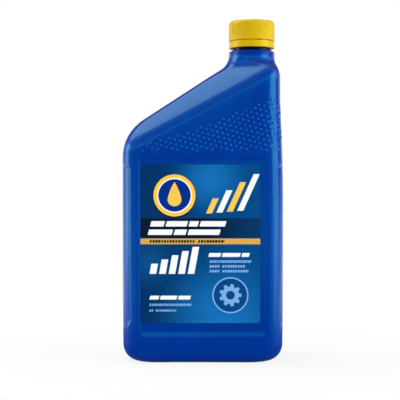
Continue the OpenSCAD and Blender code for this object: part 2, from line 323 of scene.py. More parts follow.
def section(z, inset, angles=CORNER_ANGLES, zone_steps=ZONE_STEPS, seam=True):
    """One whole section of the bottle at height z, as (x, y), with the moulding seam on both sides."""
    half = front_half(z, inset, angles, zone_steps)
    left, right = x_left(z, inset), x_right(z, inset)
    rise = SEAM_H if seam else 0.0
    reach = 0.9 * min(half[0][1], half[-1][1])
    beads = []
    if seam:
        beads = [(p, rise * (1 - smooth(0.0, SEAM_HALF, p))) for p in SEAM_POINTS if p < reach]
    points = [(left, 0.0)]
    points += [(left + rise - h, -p) for p, h in beads]
    points += [(x + (rise if i == 0 else 0.0), -y) for i, (x, y) in enumerate(half)]
    points += [(right - rise + h, -p) for p, h in reversed(beads)]
    points += [(right, 0.0)]
    points += [(right - rise + h, p) for p, h in beads]
    points += [(x, y) for x, y in reversed(half)]
    points += [(left + rise - h, p) for p, h in reversed(beads)]
    return points


# Mesh helpers


def ring_of(bm, points):
    """A closed loop of edges through the points."""
    verts = bmesh.ops.create_circle(bm, segments=len(points), radius=1)["verts"]
    for vert, point in zip(verts, points):
        vert.co = point
    return verts


def edges_of(verts):
    inside = set(verts)
    return [e for e in {e for v in verts for e in v.link_edges} if e.verts[0] in inside and e.verts[1] in inside]


def skin(bm, loops):
    """Bridges each loop to the next."""
    for low, high in zip(loops, loops[1:]):
        bmesh.ops.bridge_loops(bm, edges=edges_of(low) + edges_of(high))


def close_with_fan(bm, loop, point):
    """Closes a loop with triangles to one point."""
    edges = edges_of(loop)
    grown = bmesh.ops.extrude_edge_only(bm, edges=edges)["geom"]
    verts = [g for g in grown if isinstance(g, bmesh.types.BMVert)]
    for vert in verts:
        vert.co = point
    bmesh.ops.remove_doubles(bm, verts=verts, dist=1e-7)


def piece(name, bm, body, node=None, smooth_angle=40):
    """A finished piece from a bmesh in millimetres."""
    bmesh.ops.scale(bm, vec=(MM, MM, MM), verts=bm.verts)
    bmesh.ops.recalc_face_normals(bm, faces=bm.faces)
    mesh = bpy.data.meshes.new(name)
    bm.to_mesh(mesh)
    bm.free()
    for polygon in mesh.polygons:
        polygon.use_smooth = True
    mesh.set_sharp_from_angle(angle=math.radians(smooth_angle))
    obj = bpy.data.objects.new(name, mesh)
    bpy.context.collection.objects.link(obj)
    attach(obj, body)
    if node:
        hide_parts(node)
    return obj


TURN_STEPS = 128


def turned(bm, profile):
    """Spins a closed profile of (radius, height) points a full turn round the neck's axis."""
    verts = [bm.verts.new((NECK_X + r, 0, z)) for r, z in profile]
    edges = [bm.edges.new(pair) for pair in zip(verts, verts[1:] + verts[:1])]
    bmesh.ops.spin(
        bm, geom=verts + edges, cent=(NECK_X, 0, 0), axis=(0, 0, 1), angle=math.tau,
        steps=TURN_STEPS, use_merge=True,
    )


def arc(cx, cz, r, start, end, count):
    """Points on a quarter or part circle, angles in degrees."""
    angles = [math.radians(mix(start, end, i / count)) for i in range(count + 1)]
    return [(cx + r * math.cos(a), cz + r * math.sin(a)) for a in angles]


# Bottle: outer and inner skin of the blown shell, joined at the collar


def spaced(start, end, step):
    count = max(1, round((end - start) / step))
    return [mix(start, end, i / count) for i in range(count)]


BASE_SCALES = (0.08, 0.3, 0.5, 0.58, 0.64, 0.7, 0.76, 0.82, 0.86, 0.93)


def base_lift(scale):
    return PUSH_UP * (1 - smooth(0.55, 0.86, scale))


def lifted(points, z, scale=1.0, lift=0.0):
    return [(x * scale, y * scale, z + lift + arch_at(x * scale, z)) for x, y in points]


def skin_rings(bm, inset, heights, **form):
    """Rings of one skin from the middle of the base up to the collar."""
    foot = section(inset, inset, **form)
    rings = [lifted(foot, inset, s, base_lift(s)) for s in BASE_SCALES]
    rings += [lifted(section(z, inset, **form), z) for z in heights]
    return [ring_of(bm, ring) for ring in rings]


def heel_heights(inset):
    small = [HEEL_R - (HEEL_R - inset) * math.cos(math.radians(a)) for a in (0, 8, 18, 28, 38, 48, 58, 68, 78, 90)]
    return small + spaced(HEEL_R + 0.8, HEEL_SIDE_R + 1, 0.9)


def outer_heights():
    grip_top = GRIP_Z + GRIP_H
    heights = heel_heights(0)
    heights += spaced(HEEL_SIDE_R + 1, RECESS_Z0, 2)
    heights += spaced(RECESS_Z0, GRIP_Z + GRIP_END + 1, 0.8)
    heights += spaced(GRIP_Z + GRIP_END + 1, grip_top - GRIP_END - 1, 12)
    heights += spaced(grip_top - GRIP_END - 1, SIDE_H + 1.5, 0.8)
    heights += spaced(SIDE_H + 1.5, COLLAR_Z - 16, 1.8)
    heights += spaced(COLLAR_Z - 16, COLLAR_Z, 0.8)
    return heights + [COLLAR_Z]


INNER_ANGLES = [3, 14, 26, 38, 50, 62, 74, 86]
INNER_STEPS = (0.7, 0.3)


def inner_heights():
    heights = heel_heights(WALL)[::2]
    heights += spaced(HEEL_SIDE_R + 2, RECESS_Z1, 8)
    heights += spaced(RECESS_Z1, COLLAR_Z, 3)
    return heights + [COLLAR_Z]


def build_shell():
    bm = bmesh.new()
    outer = skin_rings(bm, 0.0, outer_heights())
    skin(bm, outer)
    close_with_fan(bm, outer[0], (0, 0, PUSH_UP + ARCH_H))
    inner_form = {"angles": INNER_ANGLES, "zone_steps": INNER_STEPS, "seam": False}
    inner = skin_rings(bm, WALL, inner_heights(), **inner_form)
    skin(bm, inner)
    close_with_fan(bm, inner[0], (0, 0, PUSH_UP + ARCH_H + WALL))
    bmesh.ops.bridge_loops(bm, edges=edges_of(outer[-1]) + edges_of(inner[-1]))
    return piece("bottle_shell", bm, "bottle_body", "bottle", smooth_angle=60)


NECK_WALL = 1.5
COLLAR_EDGE_R = 1.3
GROOVE_R = NECK_R + 0.3
LIP_R = GROOVE_R + 0.4
ROOT_R = NECK_R + ROOT_OUT
BEAD_R = NECK_R + BEAD_OUT
BEAD_Z = BAND_Z + LIP_H + 0.25
THREAD_DEPTH = 1.05
THREAD_HALF = 1.0
THREAD_TOP = RIM_Z - 3.0
NECK_THREAD_TURNS = 1.4
CAP_THREAD_TURNS = 0.9
THREAD_STEPS = 72


def build_neck():
    """Collar, bare neck, groove, locking bead, pouring bore and the thread."""
    bm = bmesh.new()
    top = COLLAR_Z + COLLAR_H
    foot = COLLAR_R + 0.02
    profile = [(foot - NECK_WALL, COLLAR_Z - 0.6), (foot, COLLAR_Z - 0.6)]
    profile += arc(foot - COLLAR_EDGE_R, top - COLLAR_EDGE_R, COLLAR_EDGE_R, 0, 90, 8)
    profile += arc(ROOT_R + 0.5, top + 0.5, 0.5, 270, 180, 5)
    profile += [(ROOT_R, BAND_Z - 0.5), (GROOVE_R, BAND_Z - 0.2), (GROOVE_R, BEAD_Z), (BEAD_R - 0.15, BEAD_Z)]
    profile += [(BEAD_R, BEAD_Z + 0.15), (BEAD_R, BEAD_Z + BEAD_H / 2), (NECK_R, BEAD_Z + BEAD_H)]
    profile += arc(NECK_R - 0.5, RIM_Z - 0.5, 0.5, 0, 90, 5)
    profile += arc(BORE_R + 0.4, RIM_Z - 0.4, 0.4, 90, 180, 4)
    profile += [(BORE_R, top - 0.5), (foot - NECK_WALL, COLLAR_Z + 0.5)]
    turned(bm, profile)
    thread(bm, NECK_R - 0.2, THREAD_DEPTH + 0.2, NECK_THREAD_TURNS)
    return piece("neck_finish", bm, "bottle_body", "bottle")


def thread(bm, root, depth, turns, phase=0.0):
    """A thread ridge: its section swept up a helix round the neck's axis, tapered at both ends."""
    side = THREAD_HALF
    start_z = THREAD_TOP - THREAD_PITCH * turns
    section_points = [(root, -side), (root + depth, -side * 0.35), (root + depth, side * 0.35), (root, side)]
    verts = [bm.verts.new((NECK_X + r, 0, start_z + z)) for r, z in section_points]
    face = bm.faces.new(verts)
    steps = round(THREAD_STEPS * turns)
    rise = (0, 0, THREAD_PITCH * turns / steps)
    turn = Matrix.Rotation(phase, 3, "Z")
    bmesh.ops.rotate(bm, verts=verts, cent=(NECK_X, 0, 0), matrix=turn)
    swept = bmesh.ops.spin(
        bm, geom=[face], cent=(NECK_X, 0, 0), axis=(0, 0, 1), dvec=rise, angle=math.tau * turns, steps=steps,
    )
    end_verts = [g for g in swept["geom_last"] if isinstance(g, bmesh.types.BMVert)]
    for group in (verts, end_verts):
        for vert in group:
            offset = Vector((vert.co.x - NECK_X, vert.co.y, 0))
            flat = offset.normalized() * root
            vert.co.x, vert.co.y = NECK_X + flat.x, flat.y


# Cap, tamper band and liner

CAP_LOW, CAP_HIGH = ([c / MM for c in corner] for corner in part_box("screw_cap"))
CAP_R = (CAP_HIGH[1] - CAP_LOW[1]) / 2
SKIRT_Z = CAP_LOW[2]
CAP_DOME = 0.3
CAP_Z = CAP_HIGH[2] - CAP_DOME
CAP_WALL = 1.45
CAP_INNER_R = CAP_R - CAP_WALL
CAP_EDGE_R = 2.2
CAP_TOP = 1.3
EDGE_STEPS = 8
RIB_COUNT = 90
RIB_DEPTH = 0.25
RIB_STEPS = 6
BAND_H = 4.6
BRIDGE_COUNT = 12
BRIDGE_SIZE = (0.6, 1.0)
BRIDGE_SINK = 0.2


def rib_ring(bm, radius, z, depth):
    """One ring of the ribbed skirt: rounded ribs as a smooth wave of the radius."""
    count = RIB_COUNT * RIB_STEPS
    points = []
    for i in range(count):
        wave = abs(math.sin(math.pi * i / RIB_STEPS)) ** 0.8
        r = radius - depth * (1 - wave)
        a = math.tau * i / count
        points.append((NECK_X + r * math.cos(a), r * math.sin(a), z))
    return ring_of(bm, points)


def build_cap():
    bm = bmesh.new()
    rib_low, rib_high = SKIRT_Z + 0.6, CAP_Z - CAP_EDGE_R
    rings = [(CAP_R - 0.35, SKIRT_Z, 0), (CAP_R - 0.12, SKIRT_Z + 0.15, 0), (CAP_R - 0.1, SKIRT_Z + 0.4, 0)]
    rings += [(CAP_R, rib_low + 0.25, RIB_DEPTH), (CAP_R, rib_high - 0.4, RIB_DEPTH)]
    rings += [(CAP_R, rib_high, RIB_DEPTH * 0.5)]
    for i in range(1, EDGE_STEPS + 1):
        a = math.radians(90 * i / EDGE_STEPS)
        rings.append((CAP_R - CAP_EDGE_R * (1 - math.cos(a)), rib_high + CAP_EDGE_R * math.sin(a), 0))
    flat_r = CAP_R - CAP_EDGE_R
    rings += [(flat_r * t, CAP_Z + CAP_DOME * (1 - t * t), 0) for t in (0.9, 0.7, 0.45, 0.2)]
    loops = [rib_ring(bm, r, z, depth) for r, z, depth in rings]
    roof_z = CAP_Z - CAP_TOP
    inside = [(CAP_INNER_R + 0.2, SKIRT_Z), (CAP_INNER_R, SKIRT_Z + 0.2), (CAP_INNER_R, roof_z - 0.3)]
    inside += [(CAP_INNER_R - 0.3, roof_z), (1.0, roof_z)]
    inner = [rib_ring(bm, r, z, 0) for r, z in inside]
    skin(bm, loops)
    skin(bm, inner)
    skin(bm, [loops[0], inner[0]])
    close_with_fan(bm, loops[-1], (NECK_X, 0, CAP_Z + CAP_DOME))
    close_with_fan(bm, inner[-1], (NECK_X, 0, roof_z))
    thread(bm, CAP_INNER_R + 0.2, -(THREAD_DEPTH + 0.15), CAP_THREAD_TURNS, phase=math.pi)
    return piece("cap_moulding", bm, "cap_body", "screw_cap", smooth_angle=50)


def build_band():
    """Tamper-evident band with its lip under the bead and the bridges on its upper edge."""
    bm = bmesh.new()
    low, high = (corner[2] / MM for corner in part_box("tamper_band"))
    top = low + BAND_H
    profile = [(LIP_R, low), (CAP_R - 0.35, low)] + arc(CAP_R - 0.3, low + 0.3, 0.3, 270, 360, 4)[1:]
    profile += [(CAP_R, top - 0.5)] + arc(CAP_R - 0.35, top - 0.35, 0.35, 0, 90, 4)
    profile += [(CAP_INNER_R, top), (CAP_INNER_R, low + LIP_H + 0.4), (LIP_R, low + LIP_H)]
    turned(bm, profile)
    bridge_low = top - BRIDGE_SINK
    size = Matrix.Diagonal((*BRIDGE_SIZE, high - bridge_low, 1))
    for i in range(BRIDGE_COUNT):
        turn = Matrix.Rotation(math.tau * i / BRIDGE_COUNT, 4, "Z")
        place = Matrix.Translation((NECK_X, 0, (bridge_low + high) / 2)) @ turn
        place = place @ Matrix.Translation((CAP_INNER_R + 0.7, 0, 0)) @ size
        bmesh.ops.create_cube(bm, size=1, matrix=place)
    return piece("band_ring", bm, "bottle_body", "tamper_band")


# Stipple: low round domes on the upper part of both faces

STIPPLE_Z = 141.2
STIPPLE_U = Vector((3.56, -0.96))
STIPPLE_V = Vector((-2.59, -2.49))
STIPPLE_R = 1.0
STIPPLE_ORIGIN = Vector((20.0, 151.2))
STIPPLE_H = 0.5
STIPPLE_LEFT = -41
STIPPLE_RIGHT = 57
STIPPLE_LEVEL = 46
STIPPLE_TURN = math.radians(72)
LATTICE = range(-30, 31)


def stipple_top(x):
    """Upper edge of the stippled field, which follows the shoulder."""
    return STIPPLE_Z + 4.6 + 0.24 * (x + 40) + 0.0015 * (x + 40) ** 2


def on_front(u, z):
    """Point on the front at a distance u along the surface, and its angle round the spout-side corner."""
    radius = plan_radius(z, CORNER_R, 0)
    start = x_right(z, 0) - radius
    depth = half_depth(z, 0)
    if u <= start:
        return Vector((u, -front_depth(u, z, 0), z)), 0.0
    angle = (u - start) / radius
    return Vector((start + radius * math.sin(angle), -depth + radius * (1 - math.cos(angle)), z)), angle


def dome_places(i):
    """The domes of one row of the lattice on the front: place, angle round the corner and height."""
    for j in LATTICE:
        u, z = STIPPLE_ORIGIN + STIPPLE_U * i + STIPPLE_V * j
        in_field = STIPPLE_LEFT < u < STIPPLE_RIGHT and STIPPLE_Z + 0.4 < z < stipple_top(min(u, STIPPLE_LEVEL))
        if not in_field:
            continue
        point, angle = on_front(u, z)
        if angle > STIPPLE_TURN:
            continue
        fade = mix(0.4, 1.0, smooth(-42, 8, u)) * mix(0.5, 1.0, smooth(STIPPLE_Z, STIPPLE_Z + 8, z))
        yield point, angle, STIPPLE_H * fade


def build_stipple():
    bm = bmesh.new()
    row_mesh = bpy.data.meshes.new("stipple row")
    for i in LATTICE:
        row = bmesh.new()
        for point, angle, height in dome_places(i):
            size = Matrix.Diagonal((STIPPLE_R, height, STIPPLE_R, 1))
            for side in (1, -1):
                place = Matrix.Translation((point.x, point.y * side, point.z))
                place = place @ Matrix.Rotation(angle * side, 4, "Z") @ size
                bmesh.ops.create_uvsphere(row, u_segments=10, v_segments=6, radius=1, matrix=place)
        row.to_mesh(row_mesh)
        row.free()
        bm.from_mesh(row_mesh)
    bpy.data.meshes.remove(row_mesh)
    return piece("stipple_domes", bm, "bottle_body", "bottle", smooth_angle=80)


# Colours, written as they look


def colour(red, green, blue):
    """Linear colour from display values of 0 to 255."""
    linear = []
    for value in (red, green, blue):
        v = value / 255
        linear.append(v / 12.92 if v <= 0.04045 else ((v + 0.055) / 1.055) ** 2.4)
    return (*linear, 1.0)


BOTTLE_BLUE = colour(0, 44, 144)
BOTTLE_DEEP = colour(0, 39, 133)
BOTTLE_SHEEN = colour(66, 240, 255)
# The domes are the bottle's own plastic: their lighter blue is a painted highlight for the light they catch
DOME_LIT_BLUE = colour(6, 70, 164)
NECK_SHADE = colour(0, 6, 18)
# Dim blue tint of the neck's reflections: it keeps them dark, as painted shade in the gap under the cap
NECK_SHADED_SHEEN = colour(30, 84, 160)
CAP_YELLOW = colour(200, 167, 0)
CAP_SHADE = colour(188, 154, 0)
CAP_SHEEN = colour(255, 226, 110)
LINER_WHITE = colour(236, 236, 230)
LABEL_NAVY = colour(0, 44, 94)
LABEL_AZURE = colour(20, 112, 184)
LABEL_DEEP = colour(0, 68, 128)
LABEL_SHEEN = colour(110, 200, 255)
INK_BLACK = colour(14, 14, 18)
FIELD_DARK = colour(6, 14, 36)
INK_WHITE = colour(240, 243, 246)
INK_GOLD = colour(246, 196, 74)
GOLD_STRIPE = colour(214, 164, 68)
INK_PALE = colour(120, 168, 222)


# Shader groups

TO_MM = 1000.0
BUMP_HEIGHT = 0.0001


def new_group(name, inputs, outputs):
    group = bpy.data.node_groups.new(name, "ShaderNodeTree")
    for label, kind, value in inputs:
        socket = group.interface.new_socket(label, in_out="INPUT", socket_type=kind)
        socket.default_value = value
    for label, kind in outputs:
        group.interface.new_socket(label, in_out="OUTPUT", socket_type=kind)
    return group, group.nodes.new("NodeGroupInput"), group.nodes.new("NodeGroupOutput")


def feed(tree, socket, value):
    """Links a socket to another one, or sets it to a constant."""
    if isinstance(value, bpy.types.NodeSocket):
        tree.links.new(value, socket)
    else:
        socket.default_value = value


def math_node(tree, operation, *values, clamp=False):
    node = tree.nodes.new("ShaderNodeMath")
    node.operation = operation
    node.use_clamp = clamp
    for socket, value in zip(node.inputs, values):
        feed(tree, socket, value)
    return node.outputs[0]


def noise_node(tree, vector, scale, detail=2.0, roughness=0.5):
    node = tree.nodes.new("ShaderNodeTexNoise")
    node.inputs["Scale"].default_value = scale
    node.inputs["Detail"].default_value = detail
    node.inputs["Roughness"].default_value = roughness
    tree.links.new(vector, node.inputs["Vector"])
    return node.outputs[0]


def remap(tree, value, low, high, to_low, to_high):
    node = tree.nodes.new("ShaderNodeMapRange")
    node.interpolation_type = "SMOOTHSTEP"
    tree.links.new(value, node.inputs["Value"])
    for label, number in (("From Min", low), ("From Max", high), ("To Min", to_low), ("To Max", to_high)):
        node.inputs[label].default_value = number
    return node.outputs[0]


def blend_colour(tree, fac, a, b):
    node = tree.nodes.new("ShaderNodeMix")
    node.data_type = "RGBA"
    for socket, value in ((node.inputs[0], fac), (node.inputs[6], a), (node.inputs[7], b)):
        feed(tree, socket, value)
    return node.outputs[2]


def object_coords(tree):
    return tree.nodes.new("ShaderNodeTexCoord").outputs["Object"]


def object_xyz(tree):
    """The three Object coordinates, in metres."""
    split = tree.nodes.new("ShaderNodeSeparateXYZ")
    tree.links.new(object_coords(tree), split.inputs[0])
    return split.outputs


def length_of(tree, *parts):
    """Length of a vector from its parts."""
    total = 0.0
    for part in parts:
        total = math_node(tree, "MULTIPLY_ADD", part, part, total)
    return math_node(tree, "SQRT", total)


def add_bump(tree, height, strength):
    """Normal of a fine bump."""
    bump = tree.nodes.new("ShaderNodeBump")
    bump.inputs["Distance"].default_value = BUMP_HEIGHT
    feed(tree, bump.inputs["Strength"], strength)
    tree.links.new(height, bump.inputs["Height"])
    return bump.outputs[0]


def build_moulded_skin():
    """Skin of moulded plastic: faint flow streaks in the colour, uneven gloss and a fine orange peel."""
    group, source, sink = new_group(
        "moulded skin",
        [
            ("Colour", "NodeSocketColor", (0.5, 0.5, 0.5, 1)),
            ("Shade", "NodeSocketColor", (0.4, 0.4, 0.4, 1)),
            ("Gloss", "NodeSocketFloat", 0.3),
            ("Peel Scale", "NodeSocketFloat", 900.0),
            ("Peel", "NodeSocketFloat", 0.1),
            ("Streaks", "NodeSocketFloat", 0.3),
        ],
        [("Colour", "NodeSocketColor"), ("Roughness", "NodeSocketFloat"), ("Normal", "NodeSocketVector")],
    )
    coords = object_coords(group)
    stretch = group.nodes.new("ShaderNodeMapping")
    stretch.inputs["Scale"].default_value = (1.0, 1.0, 0.22)
    group.links.new(coords, stretch.inputs["Vector"])
    flow = noise_node(group, stretch.outputs[0], 55.0, 4.0, 0.6)
    flow = remap(group, flow, 0.35, 0.7, 0.0, 1.0)
    tint = math_node(group, "MULTIPLY", flow, source.outputs["Streaks"])
    skin_colour = blend_colour(group, tint, source.outputs["Colour"], source.outputs["Shade"])
    group.links.new(skin_colour, sink.inputs["Colour"])
    patches = noise_node(group, coords, 120.0, 3.0)
    uneven = math_node(group, "MULTIPLY_ADD", patches, 0.1, -0.05)
    group.links.new(math_node(group, "ADD", source.outputs["Gloss"], uneven), sink.inputs["Roughness"])
    peel = noise_node(group, coords, 900.0, 3.0, 0.55)
    group.links.new(source.outputs["Peel Scale"], peel.node.inputs["Scale"])
    group.links.new(add_bump(group, peel, source.outputs["Peel"]), sink.inputs["Normal"])
    return group


def slanted_place(group, source):
    """Place across, with the print's slant taken out, and up from the print's own height, in millimetres."""
    x, _, z = object_xyz(group)
    up = math_node(group, "SUBTRACT", math_node(group, "MULTIPLY", z, TO_MM), source.outputs["Up"])
    lean = math_node(group, "MULTIPLY", up, source.outputs["Slant"])
    return math_node(group, "SUBTRACT", math_node(group, "MULTIPLY", x, TO_MM), lean), up


def build_print_field():
    """Mask of one printed field on the label: a rounded bar with a slant, in millimetres on the label."""
    group, source, sink = new_group(
        "print field",
        [
            ("Across", "NodeSocketFloat", 0.0),
            ("Up", "NodeSocketFloat", 0.0),
            ("Half Width", "NodeSocketFloat", 5.0),
            ("Half Height", "NodeSocketFloat", 1.0),
            ("Slant", "NodeSocketFloat", 0.0),
            ("Corner", "NodeSocketFloat", 0.2),
        ],
        [("Mask", "NodeSocketFloat")],
    )
    across, up = slanted_place(group, source)
    across = math_node(group, "SUBTRACT", across, source.outputs["Across"])
    sides = []
    for value, half in ((across, "Half Width"), (up, "Half Height")):
        beyond = math_node(group, "SUBTRACT", math_node(group, "ABSOLUTE", value), source.outputs[half])
        beyond = math_node(group, "ADD", beyond, source.outputs["Corner"])
        sides.append(math_node(group, "MAXIMUM", beyond, 0.0))
    away = math_node(group, "SUBTRACT", length_of(group, *sides), source.outputs["Corner"])
    group.links.new(remap(group, away, -0.05, 0.05, 1.0, 0.0), sink.inputs["Mask"])
    return group


def build_print_line():
    """Mask of one line of small print: a row of uneven blocks with gaps, in millimetres on the label."""
    group, source, sink = new_group(
        "print line",
        [
            ("Start", "NodeSocketFloat", 0.0),
            ("End", "NodeSocketFloat", 10.0),
            ("Up", "NodeSocketFloat", 0.0),
            ("Half Height", "NodeSocketFloat", 1.0),
            ("Pitch", "NodeSocketFloat", 2.0),
            ("Slant", "NodeSocketFloat", 0.2),
            ("Seed", "NodeSocketFloat", 0.0),
        ],
        [("Mask", "NodeSocketFloat")],
    )
    across, up = slanted_place(group, source)
    along = math_node(group, "SUBTRACT", across, source.outputs["Start"])
    along = math_node(group, "DIVIDE", along, source.outputs["Pitch"])
    place = group.nodes.new("ShaderNodeCombineXYZ")
    group.links.new(math_node(group, "FLOOR", along), place.inputs[0])
    group.links.new(source.outputs["Seed"], place.inputs[1])
    chance = group.nodes.new("ShaderNodeTexWhiteNoise")
    chance.noise_dimensions = "2D"
    group.links.new(place.outputs[0], chance.inputs["Vector"])
    width_chance = math_node(group, "FRACT", math_node(group, "MULTIPLY", chance.outputs["Value"], 7.31))
    off_middle = math_node(group, "ABSOLUTE", math_node(group, "SUBTRACT", math_node(group, "FRACT", along), 0.5))
    off_line = math_node(group, "DIVIDE", math_node(group, "ABSOLUTE", up), source.outputs["Half Height"])
    mask = math_node(group, "LESS_THAN", off_middle, math_node(group, "MULTIPLY_ADD", width_chance, 0.14, 0.3))
    for operation, value, limit in (
        ("LESS_THAN", off_line, 1.0),
        ("GREATER_THAN", chance.outputs["Value"], 0.12),
        ("GREATER_THAN", across, source.outputs["Start"]),
        ("LESS_THAN", across, source.outputs["End"]),
    ):
        mask = math_node(group, "MULTIPLY", mask, math_node(group, operation, value, limit))
    group.links.new(mask, sink.inputs["Mask"])
    return group


moulded_skin = build_moulded_skin()
print_field = build_print_field()
print_line = build_print_line()


def new_material(name):
    material = bpy.data.materials.new(name)
    material.use_nodes = True
    return material, material.node_tree, material.node_tree.nodes["Principled BSDF"]


def moulded_plastic(name, main, shade, gloss, peel, streaks, peel_scale=900.0, sheen=(1, 1, 1, 1)):
    material, tree, shader = new_material(name)
    node = tree.nodes.new("ShaderNodeGroup")
    node.node_tree = moulded_skin
    for socket, value in zip(node.inputs, (main, shade, gloss, peel_scale, peel, streaks)):
        socket.default_value = value
    for output, label in zip(node.outputs, ("Base Color", "Roughness", "Normal")):
        tree.links.new(output, shader.inputs[label])
    shader.inputs["Specular Tint"].default_value = sheen
    return material


# Label print: fields of colour and plain shapes

LABEL_LEFT, _, LABEL_LOW = (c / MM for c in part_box("front_label")[0])
LABEL_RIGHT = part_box("front_label")[1][0] / MM
LABEL_MID = (LABEL_LEFT + LABEL_RIGHT) / 2
LABEL_HALF = (LABEL_RIGHT - LABEL_LEFT) / 2
SHARP = 0.06


class Print:
    """Paints fields over each other on the label. Places are millimetres from its middle and its lower edge."""

    def __init__(self, tree, ground):
        self.tree = tree
        self.colour = ground

    def mask(self, across, up, half_w, half_h, slant=0.0, corner=0.2):
        node = self.tree.nodes.new("ShaderNodeGroup")
        node.node_tree = print_field
        values = (LABEL_MID + across, LABEL_LOW + up, half_w, half_h, slant, corner)
        for socket, value in zip(node.inputs, values):
            socket.default_value = value
        return node.outputs[0]

    def lay(self, mask, ink):
        self.colour = blend_colour(self.tree, mask, self.colour, ink)

    def bar(self, ink, across, up, half_w, half_h, slant=0.0, corner=0.2):
        self.lay(self.mask(across, up, half_w, half_h, slant, corner), ink)

    def disc(self, ink, across, up, radius):
        self.bar(ink, across, up, radius, radius, corner=radius)

    def words(self, ink, start, up, widths, half_h, gap, slant=0.3):
        """A row of slanted bars, as large print reads from a step away."""
        for width in widths:
            self.bar(ink, start + width / 2, up, width / 2, half_h, slant=slant, corner=0.35)
            start += width + gap

    def line(self, ink, start, end, up, half_h, pitch, slant=0.25):
        """A line of small print, as it reads from a step away. It takes its place as its seed."""
        node = self.tree.nodes.new("ShaderNodeGroup")
        node.node_tree = print_line
        values = (LABEL_MID + start, LABEL_MID + end, LABEL_LOW + up, half_h, pitch, slant, up + start)
        for socket, value in zip(node.inputs, values):
            socket.default_value = value
        self.lay(node.outputs[0], ink)


# Light clouds on the label's ground: (across, up), radius and strength
LABEL_CLOUDS = (((6.0, 96.0), 30.0, 0.85), ((14.0, 2.0), 52.0, 0.9), ((-34.0, 40.0), 22.0, 0.3))


def from_place(tree, across, up):
    """Distances across and up from a place on the label, in millimetres."""
    x, _, z = object_xyz(tree)
    return (
        math_node(tree, "MULTIPLY_ADD", x, TO_MM, -(LABEL_MID + across)),
        math_node(tree, "MULTIPLY_ADD", z, TO_MM, -(LABEL_LOW + up)),
    )


def label_ground(tree):
    """Blue ground of the label: soft light clouds over navy with faint slanting streaks."""
    across, _ = from_place(tree, 0.0, 0.0)
    ground = blend_colour(tree, remap(tree, across, -40.0, 40.0, 0.0, 1.0), LABEL_NAVY, LABEL_DEEP)
    for centre, spread, strength in LABEL_CLOUDS:
        away = length_of(tree, *from_place(tree, *centre))
        ground = blend_colour(tree, remap(tree, away, 0.0, spread, strength, 0.0), ground, LABEL_AZURE)
    mapping = tree.nodes.new("ShaderNodeMapping")
    mapping.inputs["Rotation"].default_value = (0, math.radians(28), 0)
    mapping.inputs["Scale"].default_value = (14, 1, 90)
    tree.links.new(object_coords(tree), mapping.inputs["Vector"])
    streaks = noise_node(tree, mapping.outputs[0], 1.0, 3.0, 0.6)
    streaks = remap(tree, streaks, 0.5, 0.75, 0.0, 0.18)
    return blend_colour(tree, streaks, ground, LABEL_NAVY)


def cog_mask(tree, across, up, radius, teeth, depth):
    """Mask of a plain cog wheel."""
    dx, dz = from_place(tree, across, up)
    wave = math_node(tree, "COSINE", math_node(tree, "MULTIPLY", math_node(tree, "ARCTAN2", dz, dx), float(teeth)))
    tooth = remap(tree, wave, -0.35, 0.35, -depth, 0.0)
    edge = math_node(tree, "SUBTRACT", length_of(tree, dx, dz), math_node(tree, "ADD", tooth, radius))
    return remap(tree, edge, -0.08, 0.08, 1.0, 0.0)


def drop_mask(tree, across, up, radius, height):
    """Mask of an oil drop: a disc drawn out to a point at its top."""
    dx, dz = from_place(tree, across, up)
    rise = math_node(tree, "MAXIMUM", dz, 0.0)
    squeezed = math_node(tree, "MULTIPLY", rise, radius / height)
    taper = math_node(tree, "SUBTRACT", 1.0, math_node(tree, "MULTIPLY", rise, 1.0 / height), clamp=True)
    widened = math_node(tree, "DIVIDE", dx, math_node(tree, "ADD", math_node(tree, "POWER", taper, 0.45), 0.001))
    low = math_node(tree, "MINIMUM", dz, 0.0)
    return remap(tree, length_of(tree, widened, low, squeezed), radius - 0.1, radius + 0.1, 1.0, 0.0)


